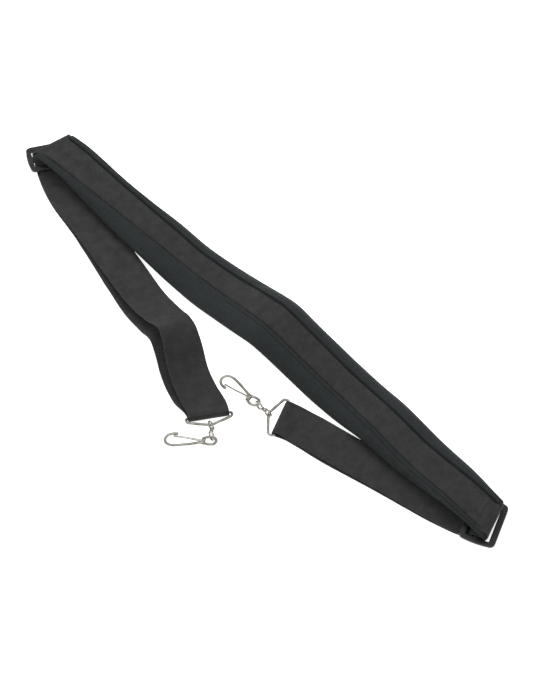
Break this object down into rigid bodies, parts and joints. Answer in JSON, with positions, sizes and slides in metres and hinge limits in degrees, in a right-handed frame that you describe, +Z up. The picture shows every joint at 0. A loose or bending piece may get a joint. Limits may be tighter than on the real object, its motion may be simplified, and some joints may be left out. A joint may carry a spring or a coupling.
{
  "type": "bass drum strap",
  "caption": "Padded shoulder strap for carrying a drum: a foam pad with webbing sewn along it, two webbing loops through slide buckles, and swivel snap hooks on wire rings.",
  "frame": {"origin": "middle of the footprint, on the surface that the strap lies on", "axes": "+X along the shoulder pad towards the end with the shorter loop, +Y across it away from the loops, +Z up"},
  "size_m": [0.6374, 0.1912, 0.0325],
  "materials": {
    "pad_cover": "matt knitted cover over foam",
    "webbing": "ribbed woven webbing",
    "slide_plastic": "satin moulded plastic",
    "nickel_plate": "bright nickel plate",
    "gate_steel": "spring strip, plated"
  },
  "bodies": {
    "strap": {"shoulder_pad": "pad_cover", "pad_webbing": "webbing", "left_strap": "webbing", "right_strap": "webbing", "left_slide": "slide_plastic", "right_slide": "slide_plastic", "left_ring": "nickel_plate", "right_ring": "nickel_plate", "left_swivel_eye": "nickel_plate", "right_swivel_eye": "nickel_plate"},
    "left_snap": {"left_swivel_pin": "nickel_plate", "left_hook": "nickel_plate"},
    "left_gate": {"left_hook_gate": "gate_steel"},
    "right_snap": {"right_swivel_pin": "nickel_plate", "right_hook": "nickel_plate"},
    "right_gate": {"right_hook_gate": "gate_steel"}
  },
  "joints": [
    {"name": "left_swivel_turn", "type": "hinge", "parent": "strap", "child": "left_snap", "pos_m": [0.05009, -0.05325, 0.0053], "axis": [0.766, -0.6428, 0], "continuous": true},
    {"name": "left_gate_open", "type": "hinge", "parent": "left_snap", "child": "left_gate", "pos_m": [0.05664, -0.06981, 0.00454], "axis": [-0.0669, -0.0582, 0.9961], "range_deg": [0, 14], "stiffness_Nm_per_rad": 0.01, "springref_deg": -20.05},
    {"name": "right_swivel_turn", "type": "hinge", "parent": "strap", "child": "right_snap", "pos_m": [0.07477, -0.00571, 0.0053], "axis": [-1, 0, 0], "continuous": true},
    {"name": "right_gate_open", "type": "hinge", "parent": "right_snap", "child": "right_gate", "pos_m": [0.0493, -0.00561, 0.00454], "axis": [0.0887, 0, -0.9961], "range_deg": [0, 14], "stiffness_Nm_per_rad": 0.01, "springref_deg": -20.05}
  ]
}
